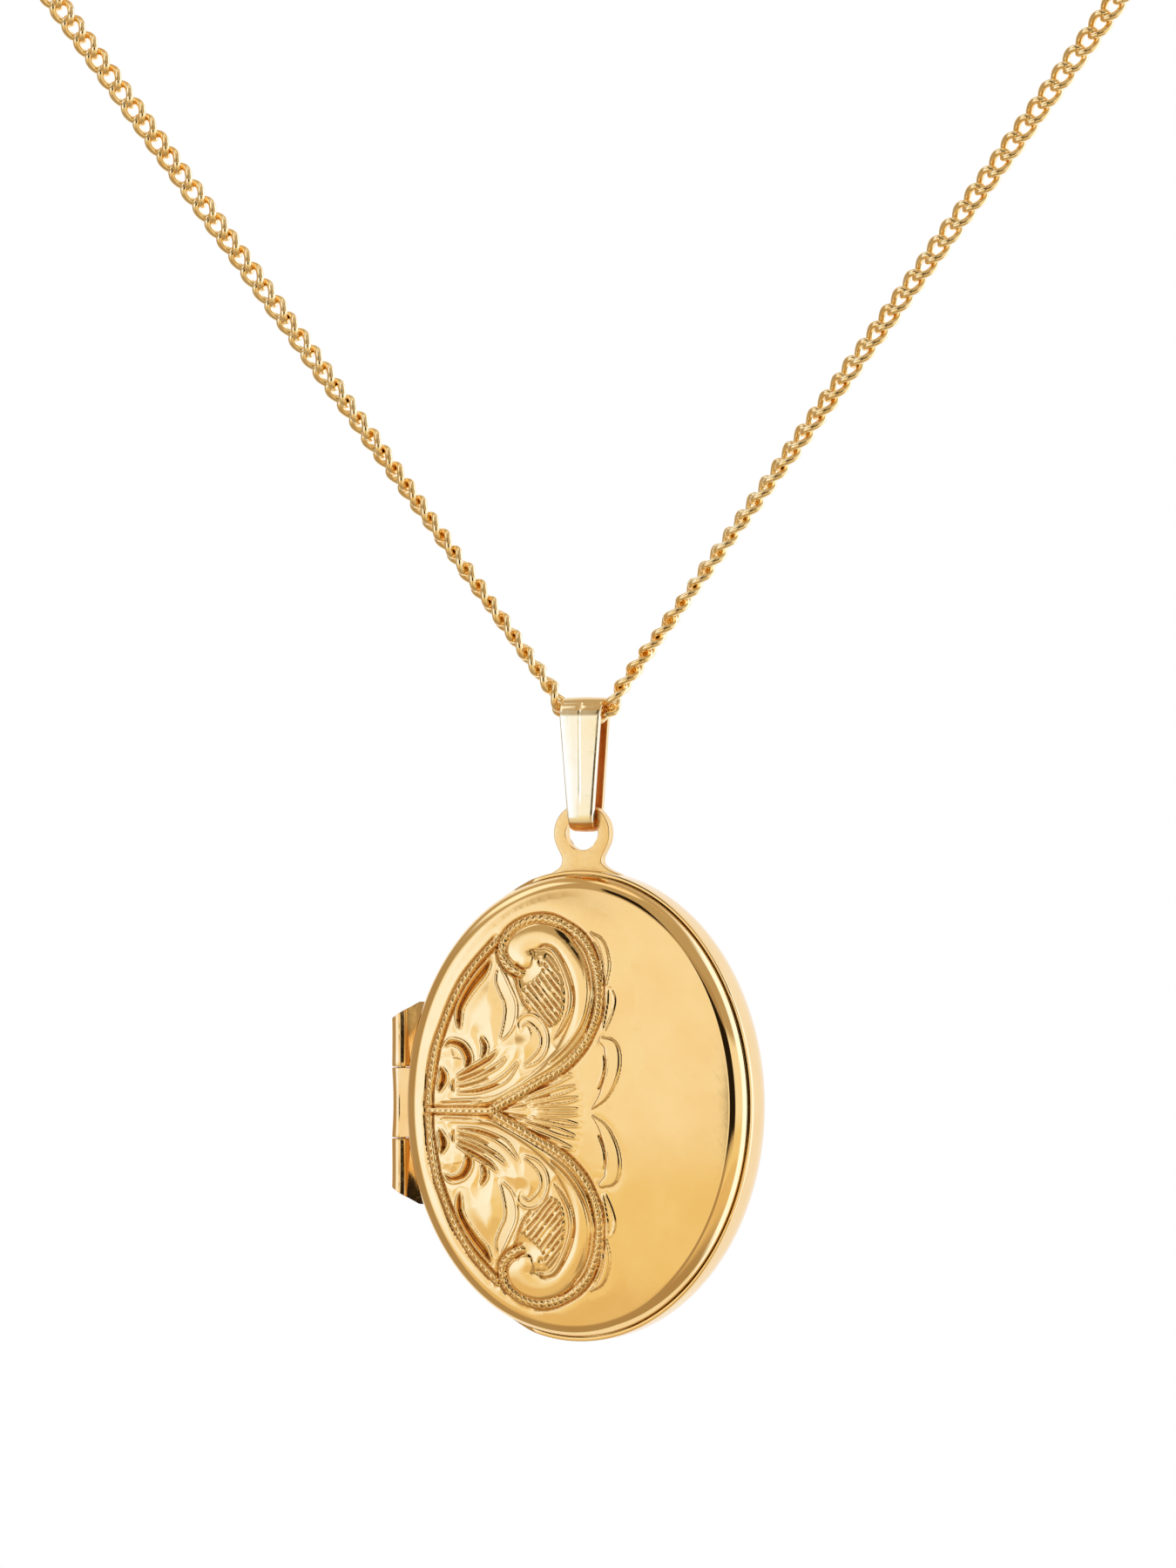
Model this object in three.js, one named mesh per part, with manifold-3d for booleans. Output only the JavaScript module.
// Oval half-engraved locket on a fine curb chain.
//
// Millimetres, +Z up, front of the locket towards -Y.
// The origin is midway between the two display pegs that the chain hangs on.
// The chain falls from the pegs in a V through the bail; the bail carries the
// eye tab of the back case; the cover is hinged on the back case at the left.

import * as THREE from 'three';
import { mergeVertices } from 'three/addons/utils/BufferGeometryUtils.js';
import Module from 'manifold-3d';

const wasm = await Module();
wasm.setup();

// ---------------------------------------------------------------- dimensions

// locket body: an oval, wide / high, both halves share the oval's proportion
const HALF_W = 8.2;            // half width of the back case lip
const HALF_H = 10.53;          // half height of the back case lip
const OVAL = HALF_W / HALF_H;  // width scale of every turned oval piece
const LOCKET_Z = -63.43;       // height of the locket centre
const SEAM_Y = -0.30;          // plane where the two halves meet
const OVAL_SEGMENTS = 48;

// back case
const BACK_RIM_IN = 9.95;
const BACK_WALL_IN = 10.12;
const BACK_SIDE_Y = 0.05;      // straight side ends here
const BACK_SHOULDER_R = 9.35;
const BACK_SHOULDER_Y = 2.13;
const BACK_INNER_Y = 0.90;     // the cavity's side ends here
const LIP_IN = 10.36;          // thin lip that stands round the closed cover
const LIP_FRONT_Y = -0.95;
const LIP_FROM_X = -3.5;       // the lip stops here, short of the hinge
const BACK_FLAT_R = 7.6;
const BACK_FLAT_Y = 2.15;
const BACK_WALL = 0.36;

// front cover
const COVER_R = 10.27;
const COVER_IN = 10.02;
const COVER_SIDE_Y = -0.90;
const PLATE_R = 9.60;
const PLATE_Y = -1.75;
const DOME_RISE = 0.70;
const COVER_WALL = 0.33;
const SEAM_GAP = 0.03;

// snap rim: the band of the back case that the cover closes over
const SNAP_OUT = 9.92;
const SNAP_IN = 9.67;
const SNAP_FRONT_Y = -0.78;
const SNAP_BACK_Y = 0.50;

// eye tab
const EYE_Z = -51.26;
const EYE_R = 1.33;
const EYE_HOLE_R = 0.76;
const EYE_T = 0.56;
const NECK_HALF = 0.93;
const TAB_GAP = 0.03;

// bail: a folded strap
const BAIL_TOP_Z = -45.20;
const BAIL_BOTTOM_Z = -51.16;
const BAIL_T = 0.31;
const BAIL_IN_TOP = 0.62;      // inner half depth at the top bend
const BAIL_IN_BOTTOM = 0.56;   // inner half depth at the bottom bend
const BAIL_W_TOP = 1.86;
const BAIL_W_BOTTOM = 1.06;

// hinge
const HINGE_X = -8.70;
const KNUCKLE_R = 0.46;
const BORE_R = 0.225;
const PIN_R = 0.19;
const KNUCKLE_Z = [-58.80, -61.76, -64.95, -67.95];
const KNUCKLE_GAP = 0.03;

// chain
const CHAIN_R = 0.40;
const V_SLOPE = 0.768;         // X per Z of a strand
const V_Z = -46.92;            // where the two strands' lines would meet
const CHAIN_LOW_Z = -45.99;
const COIL_R = 5.68;
const COIL_SOLID = 0.55;       // half thickness of the coil's turns
const COIL_DEPTH = 5.30;       // first turn to last turn
const TAIL_TOP_Z = -3.75;
const TAIL_END_Z = -5.10;

// bolt ring clasp
const CLASP_R = 2.20;
const CLASP_TUBE = 0.55;
const CLASP_BORE = 0.36;
const BOLT_R = 0.30;
const CLASP_LOOP_R = 0.50;
const CLASP_LOOP_WIRE = 0.15;
const END_RING_R = 1.30;
const END_RING_WIRE = 0.20;

// ---------------------------------------------------------------- materials

const gold = (name, color, roughness) =>
  new THREE.MeshStandardMaterial({ name, color, roughness, metalness: 1 });
const POLISHED = gold('polished_gold', 0xf0c46e, 0.12);
const SATIN = gold('satin_gold', 0xe2b25e, 0.28);
const CHAIN_GOLD = gold('chain_gold', 0xf2c873, 0.18);
const SPRING_STEEL = new THREE.MeshStandardMaterial({ name: 'spring_steel', color: 0xb8bcc0, roughness: 0.3, metalness: 1 });
const CLEAR = new THREE.MeshStandardMaterial({ name: 'clear_window', color: 0xf4f6f6, roughness: 0.05, metalness: 0, transparent: true, opacity: 0.35 });
const CARD = new THREE.MeshStandardMaterial({ name: 'card', color: 0xf3efe6, roughness: 0.9, metalness: 0 });

// ---------------------------------------------------------------- helpers

function volumeOf(geometry) {
  const p = geometry.attributes.position, ix = geometry.index;
  let v = 0;
  const a = new THREE.Vector3(), b = new THREE.Vector3(), c = new THREE.Vector3();
  for (let i = 0; i < ix.count; i += 3) {
    a.fromBufferAttribute(p, ix.getX(i));
    b.fromBufferAttribute(p, ix.getX(i + 1));
    c.fromBufferAttribute(p, ix.getX(i + 2));
    v += a.dot(b.cross(c)) / 6;
  }
  return v;
}

// one closed body: shared vertices merged, slivers dropped, faces pointing out
function closed(geometry) {
  const g = geometry.index ? geometry.toNonIndexed() : geometry.clone();
  g.deleteAttribute('normal');
  g.deleteAttribute('uv');
  const m = mergeVertices(g, 1e-4);
  const src = m.index.array;
  const out = [];
  for (let i = 0; i < src.length; i += 3) {
    const [a, b, c] = [src[i], src[i + 1], src[i + 2]];
    if (a !== b && b !== c && c !== a) out.push(a, b, c);
  }
  m.setIndex(out);
  if (volumeOf(m) < 0) {
    for (let i = 0; i < out.length; i += 3) [out[i], out[i + 1]] = [out[i + 1], out[i]];
    m.setIndex(out);
  }
  return m;
}

function toSolid(geometry) {
  const g = closed(geometry);
  return new wasm.Manifold(new wasm.Mesh({
    numProp: 3,
    vertProperties: new Float32Array(g.attributes.position.array),
    triVerts: new Uint32Array(g.index.array),
  }));
}

function fromSolid(solid) {
  const m = solid.getMesh();
  const g = new THREE.BufferGeometry();
  g.setAttribute('position', new THREE.BufferAttribute(new Float32Array(m.vertProperties), 3));
  g.setIndex(Array.from(m.triVerts));
  return closed(g);
}

// turned about the Y axis, then narrowed to the oval
function oval(profile, segments = OVAL_SEGMENTS) {
  const g = new THREE.LatheGeometry(profile.map(([r, y]) => new THREE.Vector2(r, y)), segments);
  g.scale(OVAL, 1, 1);
  g.translate(0, 0, LOCKET_Z);
  return closed(g);
}

function ringProfile(r0, r1, y0, y1) {
  return [[r0, y0], [r1, y0], [r1, y1], [r0, y1], [r0, y0]];
}

// a flat outline in X and Z, given a thickness along Y about y = 0
function plateXZ(shape, thickness, curveSegments = 12) {
  const g = new THREE.ExtrudeGeometry(shape, { depth: thickness, bevelEnabled: false, curveSegments });
  g.rotateX(Math.PI / 2);
  g.translate(0, thickness / 2, 0);
  return g;
}

function section(radius, sides, hole = 0) {
  const s = new THREE.Shape();
  for (let i = 0; i < sides; i++) {
    const a = (i / sides) * 2 * Math.PI;
    const x = radius * Math.cos(a), y = radius * Math.sin(a);
    i ? s.lineTo(x, y) : s.moveTo(x, y);
  }
  s.closePath();
  if (hole) {
    const h = new THREE.Path();
    for (let i = 0; i < sides; i++) {
      const a = (i / sides) * 2 * Math.PI;
      const x = hole * Math.cos(a), y = hole * Math.sin(a);
      i ? h.lineTo(x, y) : h.moveTo(x, y);
    }
    h.closePath();
    s.holes.push(h);
  }
  return s;
}

function tube(curve, radius, steps, sides = 8, hole = 0) {
  return closed(new THREE.ExtrudeGeometry(section(radius, sides, hole), {
    steps, bevelEnabled: false, extrudePath: curve,
  }));
}

// an arc about the Y axis: angle 0 is +X and 90 degrees is +Z
class RingArc extends THREE.Curve {
  constructor(cx, cy, cz, radius, a0, a1) {
    super();
    Object.assign(this, { cx, cy, cz, radius, a0, a1 });
  }
  getPoint(t, target = new THREE.Vector3()) {
    const a = THREE.MathUtils.degToRad(this.a0 + (this.a1 - this.a0) * t);
    return target.set(this.cx + this.radius * Math.cos(a), this.cy, this.cz + this.radius * Math.sin(a));
  }
}

const locket = new THREE.Group();
function add(name, geometry, material) {
  const mesh = new THREE.Mesh(geometry, material);
  mesh.name = name;
  locket.add(mesh);
  return mesh;
}

function arcPoints(cr, cy, ar, ay, from, to, n) {
  const pts = [];
  for (let i = 0; i <= n; i++) {
    const a = THREE.MathUtils.degToRad(from + (to - from) * i / n);
    pts.push([cr + ar * Math.cos(a), cy + ay * Math.sin(a)]);
  }
  return pts;
}

// ---------------------------------------------------------------- back case

{
  const outer = [
    [0, BACK_FLAT_Y], [BACK_FLAT_R, BACK_FLAT_Y],
    ...arcPoints(BACK_SHOULDER_R, BACK_SIDE_Y, HALF_H - BACK_SHOULDER_R, BACK_SHOULDER_Y - BACK_SIDE_Y, 90, 0, 5),
    [HALF_H, LIP_FRONT_Y], [LIP_IN, LIP_FRONT_Y], [LIP_IN, SEAM_Y],
  ];
  const inner = [
    [BACK_RIM_IN, SEAM_Y], [BACK_RIM_IN, 0.56], [BACK_WALL_IN, 0.60],
    ...arcPoints(9.32, BACK_INNER_Y, BACK_WALL_IN - 9.32, 0.68, 0, 90, 3),
    [8.6, BACK_FLAT_Y - BACK_WALL - 0.06], [BACK_FLAT_R, BACK_FLAT_Y - BACK_WALL], [0, BACK_FLAT_Y - BACK_WALL],
  ];
  const clearance = new THREE.BoxGeometry(12 + LIP_FROM_X, 3, 30);
  clearance.translate((LIP_FROM_X - 12) / 2, SEAM_Y - 1.5, LOCKET_Z);
  add('back_case', fromSolid(toSolid(oval([...outer, ...inner])).subtract(toSolid(clearance))), POLISHED);
}

add('snap_rim', oval([
  [SNAP_IN, SNAP_FRONT_Y], [SNAP_OUT - 0.06, SNAP_FRONT_Y], [SNAP_OUT, SNAP_FRONT_Y + 0.1],
  [SNAP_OUT, SNAP_BACK_Y], [SNAP_IN, SNAP_BACK_Y], [SNAP_IN, SNAP_FRONT_Y],
]), SATIN);

// picture frame of the back half: an L section, with its lip in front
add('back_frame', oval([
  [8.70, -0.26], [9.62, -0.26], [9.62, 0.42], [9.32, 0.42], [9.32, -0.01], [8.70, -0.01], [8.70, -0.26],
]), SATIN);
add('back_window', oval([[0, 0.02], [9.26, 0.02], [9.26, 0.26], [0, 0.26]]), CLEAR);
add('back_insert', oval([[0, 0.29], [9.22, 0.29], [9.22, 0.40], [0, 0.40]]), CARD);

// ---------------------------------------------------------------- front cover

{
  const dome = (r, edgeR, edgeY) => [r, edgeY - DOME_RISE * (1 - (r / edgeR) ** 2)];
  const outer = [
    ...[0, 2.6, 4.8, 6.6, 8.2].map((r) => dome(r, PLATE_R, PLATE_Y)),
    ...arcPoints(PLATE_R, COVER_SIDE_Y, COVER_R - PLATE_R, PLATE_Y - COVER_SIDE_Y, 90, 0, 5),
    [COVER_R, SEAM_Y - SEAM_GAP],
  ];
  const inR = PLATE_R - 0.25, inY = PLATE_Y + COVER_WALL;
  const inner = [
    [COVER_IN, SEAM_Y - SEAM_GAP],
    ...arcPoints(inR, COVER_SIDE_Y, COVER_IN - inR, inY - COVER_SIDE_Y, 0, 90, 3),
    ...[7.4, 5.2, 2.8, 0].map((r) => dome(r, inR, inY)),
  ];
  add('front_cover', oval([...outer, ...inner]), POLISHED);
}

// picture frame of the cover: a hat section held on its flange
add('front_frame', oval([
  [8.50, -0.34], [9.28, -0.34], [9.28, -0.87], [9.85, -0.87], [9.85, -1.04], [9.05, -1.04],
  [9.05, -0.56], [8.50, -0.56], [8.50, -0.34],
]), SATIN);
add('front_window', oval([[0, -0.59], [9.0, -0.59], [9.0, -0.83], [0, -0.83]]), CLEAR);
add('front_insert', oval([[0, -0.86], [8.96, -0.86], [8.96, -0.97], [0, -0.97]]), CARD);

// ---------------------------------------------------------------- eye tab

{
  const s = new THREE.Shape();
  const right = [
    [1.19, EYE_Z - 0.60], [1.02, EYE_Z - 0.92], [NECK_HALF, EYE_Z - 1.22],
    [1.06, EYE_Z - 1.47], [1.36, EYE_Z - 1.64], [1.80, EYE_Z - 1.745],
  ];
  const a0 = Math.atan2(-0.60, 1.19);
  s.moveTo(-1.80, right[5][1]);
  for (let i = 4; i >= 0; i--) s.lineTo(-right[i][0], right[i][1]);
  const n = 18;
  for (let i = 1; i < n; i++) {
    const a = (Math.PI - a0) + (a0 - (Math.PI - a0)) * (i / n);
    s.lineTo(EYE_R * Math.cos(a), EYE_Z + EYE_R * Math.sin(a));
  }
  for (let i = 0; i <= 5; i++) s.lineTo(right[i][0], right[i][1]);
  const m = 8;
  for (let i = 0; i <= m; i++) {
    const x = 1.80 - 3.60 * (i / m);
    s.lineTo(x, LOCKET_Z + (HALF_H + TAB_GAP) * Math.sqrt(1 - (x / (HALF_W + TAB_GAP)) ** 2));
  }
  s.closePath();
  const hole = new THREE.Path();
  for (let i = 0; i < 16; i++) {
    const a = (i / 16) * 2 * Math.PI;
    const x = EYE_HOLE_R * Math.cos(a), z = EYE_Z + EYE_HOLE_R * Math.sin(a);
    i ? hole.lineTo(x, z) : hole.moveTo(x, z);
  }
  hole.closePath();
  s.holes.push(hole);
  add('eye_tab', closed(plateXZ(s, EYE_T)), POLISHED);
}

// ---------------------------------------------------------------- bail

{
  const loop = (grow, reverse) => {
    const topZ = BAIL_TOP_Z - BAIL_T - BAIL_IN_TOP;
    const bottomZ = BAIL_BOTTOM_Z + BAIL_T + BAIL_IN_BOTTOM;
    const pts = [];
    for (let i = 0; i <= 8; i++) {
      const a = Math.PI * i / 8;
      pts.push([(BAIL_IN_TOP + grow) * Math.cos(a), topZ + (BAIL_IN_TOP + grow) * Math.sin(a)]);
    }
    for (let i = 0; i <= 8; i++) {
      const a = Math.PI + Math.PI * i / 8;
      pts.push([(BAIL_IN_BOTTOM + grow) * Math.cos(a), bottomZ + (BAIL_IN_BOTTOM + grow) * Math.sin(a)]);
    }
    return reverse ? pts.reverse() : pts;
  };
  const s = new THREE.Shape(loop(BAIL_T, false).map(([y, z]) => new THREE.Vector2(y, z)));
  s.holes.push(new THREE.Path(loop(0, true).map(([y, z]) => new THREE.Vector2(y, z))));
  const g = new THREE.ExtrudeGeometry(s, { depth: 1, bevelEnabled: false });
  const p = g.attributes.position;
  for (let i = 0; i < p.count; i++) {
    const y = p.getX(i), z = p.getY(i), w = p.getZ(i) - 0.5;
    const k = THREE.MathUtils.clamp((z - BAIL_BOTTOM_Z) / (BAIL_TOP_Z - BAIL_BOTTOM_Z), 0, 1);
    p.setXYZ(i, w * (BAIL_W_BOTTOM + (BAIL_W_TOP - BAIL_W_BOTTOM) * k), y, z);
  }
  add('bail', closed(g), SATIN);
}

// ---------------------------------------------------------------- hinge

function sleeve(z0, z1, r0, r1, segments = 16) {
  const g = new THREE.LatheGeometry(
    ringProfile(r0, r1, z0, z1).map(([r, z]) => new THREE.Vector2(r, z)), segments);
  g.rotateX(Math.PI / 2);
  return g;
}

// a knuckle with the bearer that carries it to the case wall
function knuckle(zTop, zBottom, webY0, webY1, caseHalfW, caseHalfH, slant) {
  // the lathe's axis turns to Z: its height h lands at z = h
  const barrel = sleeve(zBottom, zTop, BORE_R, KNUCKLE_R);
  barrel.translate(HINGE_X, SEAM_Y, 0);
  const web = new THREE.BoxGeometry(2.1, webY1 - webY0, zTop - zBottom);
  web.translate(HINGE_X + KNUCKLE_R * 0.72 + 1.05, (webY0 + webY1) / 2, (zTop + zBottom) / 2);
  const wall = new THREE.CylinderGeometry(1, 1, 8, 96);
  wall.scale(caseHalfW + 0.03, 1, caseHalfH + 0.03);
  wall.translate(0, 0, LOCKET_Z);
  let solid = toSolid(web).subtract(toSolid(wall)).add(toSolid(barrel));
  if (slant) {
    // the outer end is cut back towards the free side of the barrel
    const end = slant > 0 ? zTop : zBottom;
    const cut = new THREE.BoxGeometry(4, 3, 2);
    cut.translate(0, 0, slant);
    cut.rotateY(slant > 0 ? -0.62 : 0.62);
    cut.translate(HINGE_X + KNUCKLE_R, SEAM_Y, end);
    solid = solid.subtract(toSolid(cut));
  }
  return fromSolid(solid);
}

{
  const [z0, z1, z2, z3] = KNUCKLE_Z;
  add('hinge_knuckle_top', knuckle(z0, z1 + KNUCKLE_GAP, SEAM_Y + 0.02, 0.28, HALF_W, HALF_H, 1), POLISHED);
  add('hinge_knuckle_middle', knuckle(z1 - KNUCKLE_GAP, z2 + KNUCKLE_GAP, -0.72, SEAM_Y - SEAM_GAP, COVER_R * OVAL, COVER_R, 0), POLISHED);
  add('hinge_knuckle_bottom', knuckle(z2 - KNUCKLE_GAP, z3, SEAM_Y + 0.02, 0.28, HALF_W, HALF_H, -1), POLISHED);
  const pin = new THREE.CylinderGeometry(PIN_R, PIN_R, 7.9, 16);
  pin.rotateX(Math.PI / 2);
  pin.translate(HINGE_X, SEAM_Y, (z0 + z3) / 2);
  add('hinge_pin', closed(pin), SATIN);
}

// ---------------------------------------------------------------- chain

// where a strand's straight line touches the coil that it is wound on
const DIR = new THREE.Vector2(V_SLOPE, 1).normalize();
const COIL_X = (() => {
  // the centre lies COIL_R to the inner side of the line, at z = 0
  const t = (0 - V_Z - COIL_R * DIR.x) / DIR.y;
  return DIR.x * t - COIL_R * DIR.y;
})();
const TOUCH = new THREE.Vector2(COIL_X + COIL_R * DIR.y, -COIL_R * DIR.x);
const TAIL_X = COIL_X - COIL_R;
const TAIL_Y = COIL_DEPTH;

{
  const middle = new THREE.LineCurve3(
    new THREE.Vector3(-1.14, 0, CHAIN_LOW_Z), new THREE.Vector3(1.14, 0, CHAIN_LOW_Z));
  add('chain_middle', tube(middle, CHAIN_R, 3), CHAIN_GOLD);
}

for (const [side, sx] of [['left', -1], ['right', 1]]) {
  const start = new THREE.Vector3(sx * 1.40, 0, V_Z + 1.40 / V_SLOPE);
  const end = new THREE.Vector3(sx * (TOUCH.x - 3.75 * DIR.x), 0, TOUCH.y - 3.75 * DIR.y);
  add(`chain_strand_${side}`, tube(new THREE.LineCurve3(start, end), CHAIN_R, 22), CHAIN_GOLD);

  const coil = new THREE.LatheGeometry(
    ringProfile(COIL_R - COIL_SOLID, COIL_R + COIL_SOLID, -0.50, COIL_DEPTH + 0.50)
      .map(([r, y]) => new THREE.Vector2(r, y)), 28);
  coil.translate(sx * COIL_X, 0, 0);
  add(`chain_coil_${side}`, closed(coil), CHAIN_GOLD);

  const tail = new THREE.LineCurve3(
    new THREE.Vector3(sx * TAIL_X, TAIL_Y, TAIL_TOP_Z), new THREE.Vector3(sx * TAIL_X, TAIL_Y, TAIL_END_Z));
  add(`chain_tail_${side}`, tube(tail, CHAIN_R, 2), CHAIN_GOLD);
}

// ---------------------------------------------------------------- clasp

const LOOP_Z = TAIL_END_Z - 0.05 - CLASP_LOOP_R - CLASP_LOOP_WIRE;
const CLASP_Z = LOOP_Z - CLASP_LOOP_R - CLASP_LOOP_WIRE - 0.03 - CLASP_TUBE - CLASP_R;
const CLASP_X = -TAIL_X;

{
  const loop = new THREE.TorusGeometry(CLASP_LOOP_R, CLASP_LOOP_WIRE, 8, 16);
  loop.rotateX(Math.PI / 2);
  loop.translate(CLASP_X, TAIL_Y, LOOP_Z);
  add('clasp_loop', closed(loop), CHAIN_GOLD);

  // the shell is a hollow ring, open from 270 to 340 degrees, slotted for the thumb pin
  const shell = toSolid(tube(new RingArc(CLASP_X, TAIL_Y, CLASP_Z, CLASP_R, -20, 270), CLASP_TUBE, 29, 10, CLASP_BORE));
  const slot = new THREE.Shape();
  const a0 = THREE.MathUtils.degToRad(158), a1 = THREE.MathUtils.degToRad(250);
  slot.absarc(0, 0, 3.2, a0, a1, false);
  slot.absarc(0, 0, 2.42, a1, a0, true);
  slot.closePath();
  const slotSolid = plateXZ(slot, 0.36, 10);
  slotSolid.translate(CLASP_X, TAIL_Y, CLASP_Z);
  add('clasp_shell', fromSolid(shell.subtract(toSolid(slotSolid))), CHAIN_GOLD);

  add('clasp_bolt', tube(new RingArc(CLASP_X, TAIL_Y, CLASP_Z, CLASP_R, 202, 351), BOLT_R, 15, 8), CHAIN_GOLD);

  const thumb = new THREE.CylinderGeometry(0.13, 0.13, 0.66, 8);
  thumb.rotateZ(Math.PI / 2);
  thumb.translate(CLASP_R + BOLT_R + 0.03 + 0.33, 0, 0);
  thumb.rotateY(-THREE.MathUtils.degToRad(241));
  thumb.translate(CLASP_X, TAIL_Y, CLASP_Z);
  add('clasp_thumb', closed(thumb), CHAIN_GOLD);

  add('clasp_spring', tube(new RingArc(CLASP_X, TAIL_Y, CLASP_Z, CLASP_R, 60, 200), 0.28, 14, 8, 0.18), SPRING_STEEL);

  const ring = new THREE.TorusGeometry(END_RING_R, END_RING_WIRE, 8, 24);
  ring.rotateX(Math.PI / 2);
  ring.translate(TAIL_X, TAIL_Y, TAIL_END_Z - 0.05 - END_RING_R - END_RING_WIRE);
  add('end_ring', closed(ring), CHAIN_GOLD);
}

export default locket;
